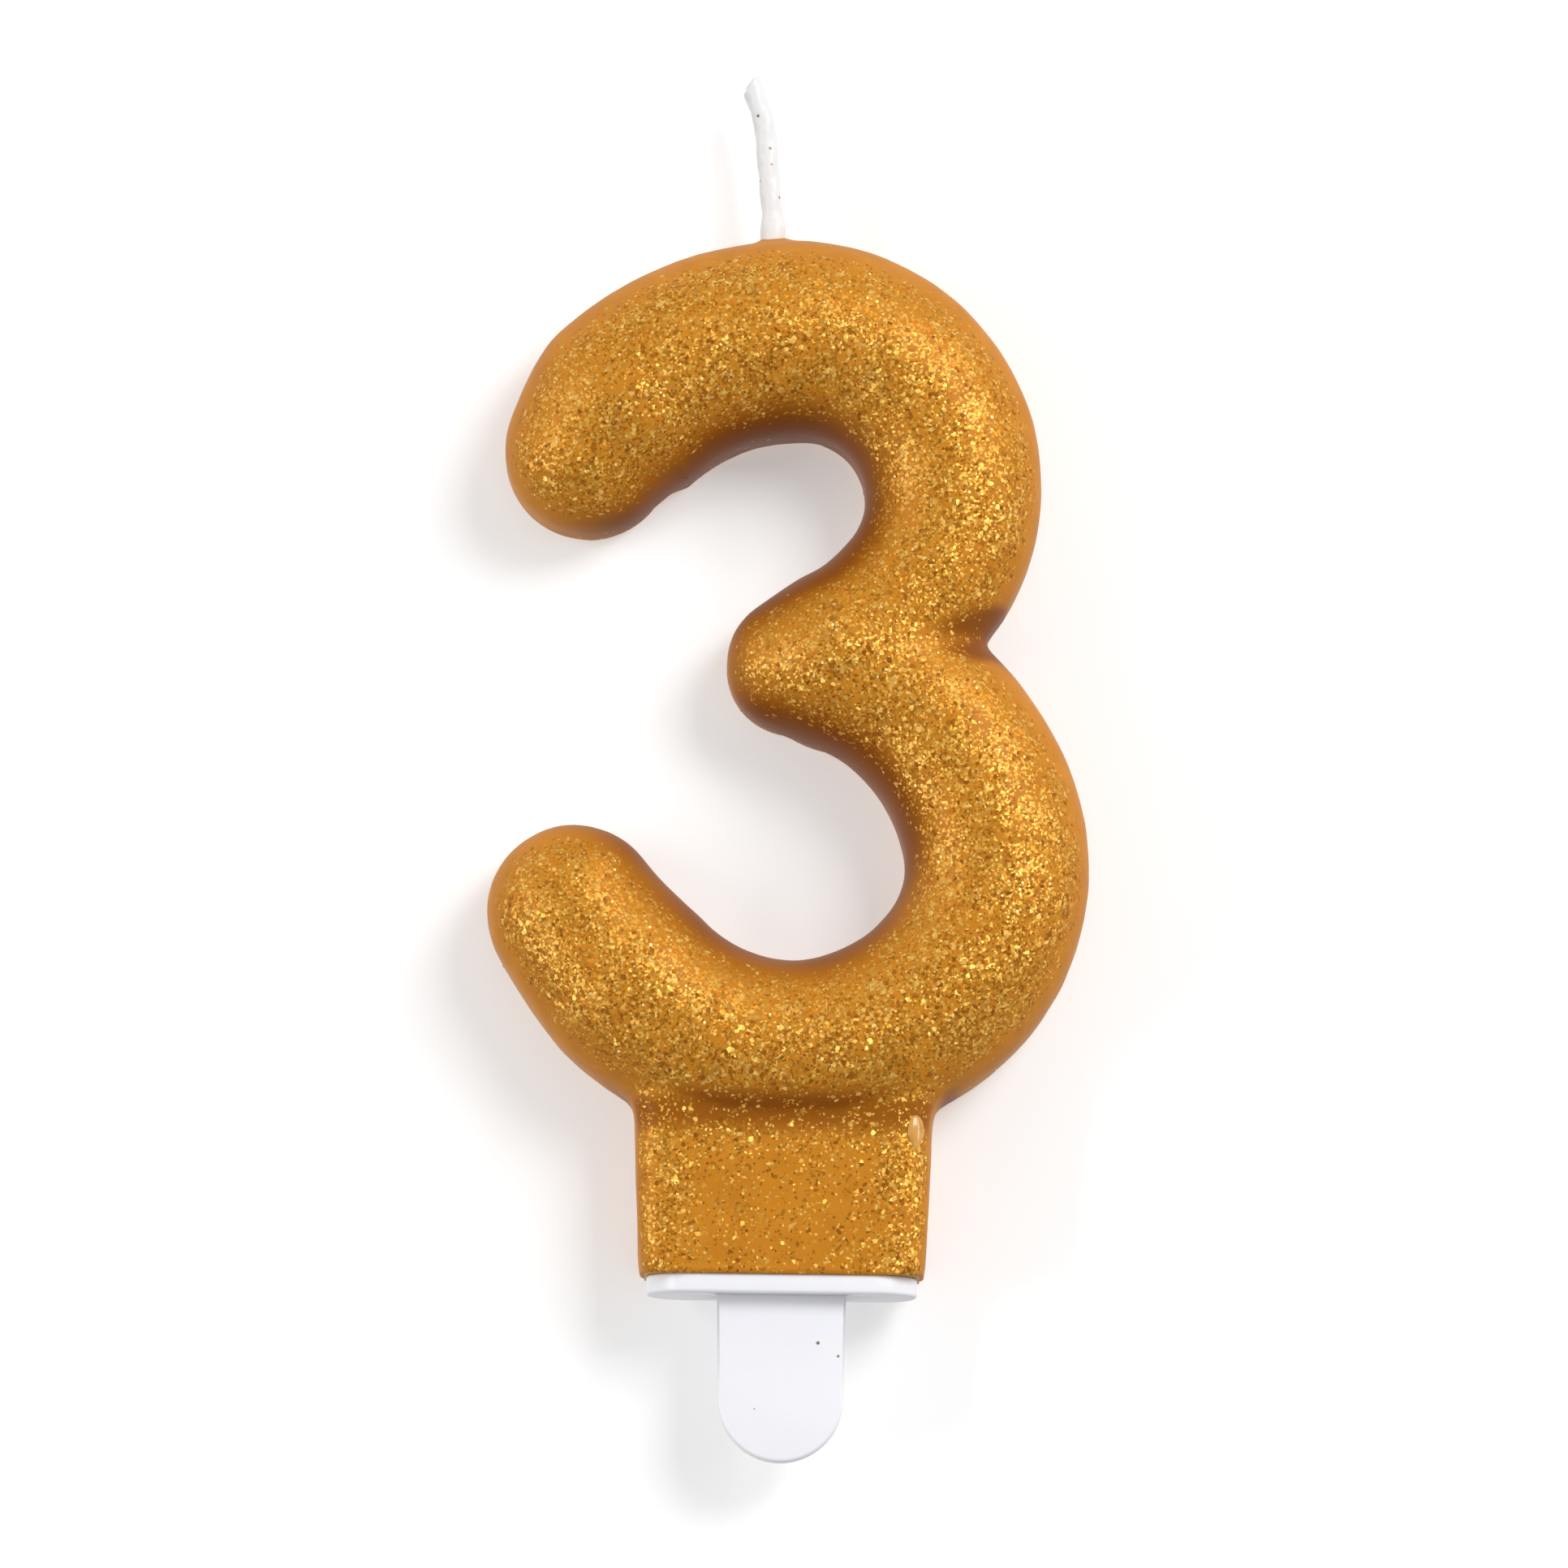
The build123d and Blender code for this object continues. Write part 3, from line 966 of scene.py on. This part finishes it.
class CANDLE_OT_holder(bpy.types.Operator):
    """Make the white cake holder: tray, stake and tongue"""

    bl_idname = "candle.holder"
    bl_label = "Cake holder"

    def execute(self, context):
        holder = context.scene.candle_holder
        piece = finish_piece(
            moulded_holder(holder), "cake_holder", plastic_material(holder), "holder"
        )
        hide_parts("holder_pick")
        flakes = stray_flakes(piece, HOLDER_FLAKES)
        finish_piece(flakes, "holder_flakes", stray_material(), "holder", smooth=False)
        return {"FINISHED"}


def soft_box(name, azimuth, elevation, width, height, power):
    """Area light at an azimuth and elevation in degrees as seen from the candle, turned to face it."""
    lamp = bpy.data.lights.new(name, "AREA")
    lamp.shape = "RECTANGLE"
    lamp.size = width
    lamp.size_y = height
    lamp.energy = power
    light = bpy.data.objects.new(name, lamp)
    bpy.context.scene.collection.objects.link(light)
    a, e = radians(azimuth), radians(elevation)
    outward = Vector((sin(a) * cos(e), -cos(a) * cos(e), sin(e)))
    light.location = Vector((0, 0, LIGHT_AIM)) + outward * LIGHT_DISTANCE
    light.rotation_mode = "QUATERNION"
    light.rotation_quaternion = outward.to_track_quat("Z", "Y")


def flat_sheet(name, material, half_size, tip, place):
    """Large square sheet tipped about X, which neither lights the candle nor shows in its gloss."""
    bm = bmesh.new()
    bmesh.ops.create_grid(bm, x_segments=8, y_segments=8, size=half_size)
    bmesh.ops.rotate(bm, verts=bm.verts, matrix=Matrix.Rotation(tip, 3, "X"))
    bmesh.ops.translate(bm, verts=bm.verts, vec=place)
    mesh = bpy.data.meshes.new(name)
    bm.to_mesh(mesh)
    bm.free()
    mesh.materials.append(material)
    sheet = bpy.data.objects.new(name, mesh)
    bpy.context.scene.collection.objects.link(sheet)
    sheet.visible_diffuse = False
    sheet.visible_glossy = False
    return sheet


def aim_camera(stage):
    """Long-lens camera that looks at the candle from in front and a little below."""
    camera = bpy.data.cameras.new("camera")
    camera.sensor_width = 36.0
    camera.lens = camera.sensor_width * stage.distance / stage.frame_width
    camera.clip_start = 0.01
    camera.clip_end = 100.0
    eye = bpy.data.objects.new("camera", camera)
    bpy.context.scene.collection.objects.link(eye)
    back = Vector((0, -cos(stage.rise), sin(stage.rise)))
    eye.location = CAMERA_AIM + back * stage.distance
    turn = turned_to(back) @ Matrix.Rotation(stage.roll, 4, "Z")
    eye.rotation_mode = "QUATERNION"
    eye.rotation_quaternion = turn.to_quaternion()
    bpy.context.scene.camera = eye


def table_top():
    """White surface that the candle's flat back lies on.

    Only the camera sees it, and only from in front, so it takes the candle's soft shadow and neither
    lights the candle nor hides it from the other sides.
    """
    material, tree, place = new_material("white_card")
    fleck = add_node(tree, "ShaderNodeTexNoise", {}, {"Vector": place, "Scale": 0.05}).outputs["Fac"]
    colour = add_node(
        tree,
        "ShaderNodeMix",
        {"data_type": "RGBA"},
        {0: fleck, 6: hex_linear("DEDEDE"), 7: hex_linear("E2E2E2")},
    ).outputs[2]
    lit = add_node(tree, "ShaderNodeBsdfDiffuse", {}, {"Color": colour}).outputs["BSDF"]
    glow = add_node(tree, "ShaderNodeEmission", {}, {"Strength": 0.33}).outputs["Emission"]
    card = add_node(tree, "ShaderNodeAddShader", {}, {0: lit, 1: glow}).outputs["Shader"]
    clear = add_node(tree, "ShaderNodeBsdfTransparent").outputs["BSDF"]
    behind = add_node(tree, "ShaderNodeNewGeometry").outputs["Backfacing"]
    side = add_node(tree, "ShaderNodeMixShader", {}, {0: behind, 1: card, 2: clear})
    add_node(tree, "ShaderNodeOutputMaterial", {}, {"Surface": side.outputs[0]})
    card = flat_sheet("card", material, 2.0, pi / 2, (0, COAT_HIGH.y + 0.15 * MM, 1.85))
    card.visible_transmission = False
    card.visible_shadow = False


class CANDLE_OT_stage(bpy.types.Operator):
    """Set the pale floor, the soft light and the camera"""

    bl_idname = "candle.stage"
    bl_label = "Stage"

    def execute(self, context):
        stage = context.scene.candle_stage
        material, tree, place = new_material("pale_paper_floor")
        fleck = add_node(tree, "ShaderNodeTexNoise", {}, {"Vector": place, "Scale": 0.02}).outputs["Fac"]
        colour = add_node(
            tree,
            "ShaderNodeMix",
            {"data_type": "RGBA"},
            {0: fleck, 6: hex_linear("EEEEEE"), 7: tuple(stage.floor)},
        ).outputs[2]
        show(tree, add_node(tree, "ShaderNodeBsdfPrincipled", {}, {"Base Color": colour, "Roughness": 0.8}))
        floor = flat_sheet("floor", material, 30.0, 0.0, (0, 0, -0.6))
        table_top()

        world = bpy.data.worlds.new("studio")
        context.scene.world = world
        world.use_nodes = True
        tree = world.node_tree
        tree.nodes.clear()
        direction = add_node(tree, "ShaderNodeTexCoord").outputs["Generated"]
        parts = add_node(tree, "ShaderNodeSeparateXYZ", {}, {"Vector": direction})
        depth = add_node(
            tree,
            "ShaderNodeMapRange",
            {"interpolation_type": "SMOOTHSTEP"},
            {"Value": parts.outputs["Y"], "From Min": -0.75, "From Max": 0.05, "To Min": 0.5, "To Max": 1.05},
        ).outputs["Result"]
        height = add_node(
            tree,
            "ShaderNodeMapRange",
            {"interpolation_type": "SMOOTHSTEP"},
            {"Value": parts.outputs["Z"], "From Min": -0.7, "From Max": 0.5, "To Min": 0.64, "To Max": 0.88},
        ).outputs["Result"]
        glow = add_node(tree, "ShaderNodeMath", {"operation": "MULTIPLY"}, {0: depth, 1: height}).outputs[0]
        seen = add_node(tree, "ShaderNodeLightPath").outputs["Is Camera Ray"]
        strength = add_node(tree, "ShaderNodeMath", {"operation": "MAXIMUM"}, {0: seen, 1: glow}).outputs[0]
        sky = add_node(
            tree, "ShaderNodeBackground", {}, {"Color": (1.0, 1.0, 1.0, 1.0), "Strength": strength}
        )
        add_node(tree, "ShaderNodeOutputWorld", {}, {"Surface": sky.outputs["Background"]})
        context.scene.view_settings.view_transform = "Standard"

        soft_box("key_box", azimuth=34, elevation=26, width=0.2, height=0.2, power=1.32)
        soft_box("right_strip", azimuth=55, elevation=12, width=0.05, height=0.34, power=0.42)
        soft_box("left_strip", azimuth=-57, elevation=0, width=0.06, height=0.34, power=0.9)
        aim_camera(stage)
        return {"FINISHED"}


class CANDLE_PT_parts(bpy.types.Panel):
    """Lists the candle's pieces and their settings"""

    bl_label = "Candle"
    bl_idname = "CANDLE_PT_parts"
    bl_space_type = "VIEW_3D"
    bl_region_type = "UI"
    bl_category = "Candle"

    def draw(self, context):
        for settings, operator in PARTS:
            box = self.layout.box()
            group = getattr(context.scene, settings)
            for name in group.__annotations__:
                box.prop(group, name)
            box.operator(operator)


SETTINGS = {
    "candle_figure": CandleFigure,
    "candle_wick": CandleWick,
    "candle_holder": CandleHolder,
    "candle_stage": CandleStage,
}
PARTS = (
    ("candle_figure", "candle.figure"),
    ("candle_wick", "candle.wick"),
    ("candle_holder", "candle.holder"),
    ("candle_stage", "candle.stage"),
)
CLASSES = (
    *SETTINGS.values(),
    CANDLE_OT_figure,
    CANDLE_OT_wick,
    CANDLE_OT_holder,
    CANDLE_OT_stage,
    CANDLE_PT_parts,
)


def register():
    for kind in CLASSES:
        bpy.utils.register_class(kind)
    for name, group in SETTINGS.items():
        setattr(bpy.types.Scene, name, PointerProperty(type=group))


def unregister():
    for name in SETTINGS:
        delattr(bpy.types.Scene, name)
    for kind in reversed(CLASSES):
        bpy.utils.unregister_class(kind)


def main():
    """Make every piece and the stage."""
    register()
    bpy.ops.candle.figure()
    bpy.ops.candle.wick()
    bpy.ops.candle.holder()
    bpy.ops.candle.stage()


if __name__ == "__main__":
    main()
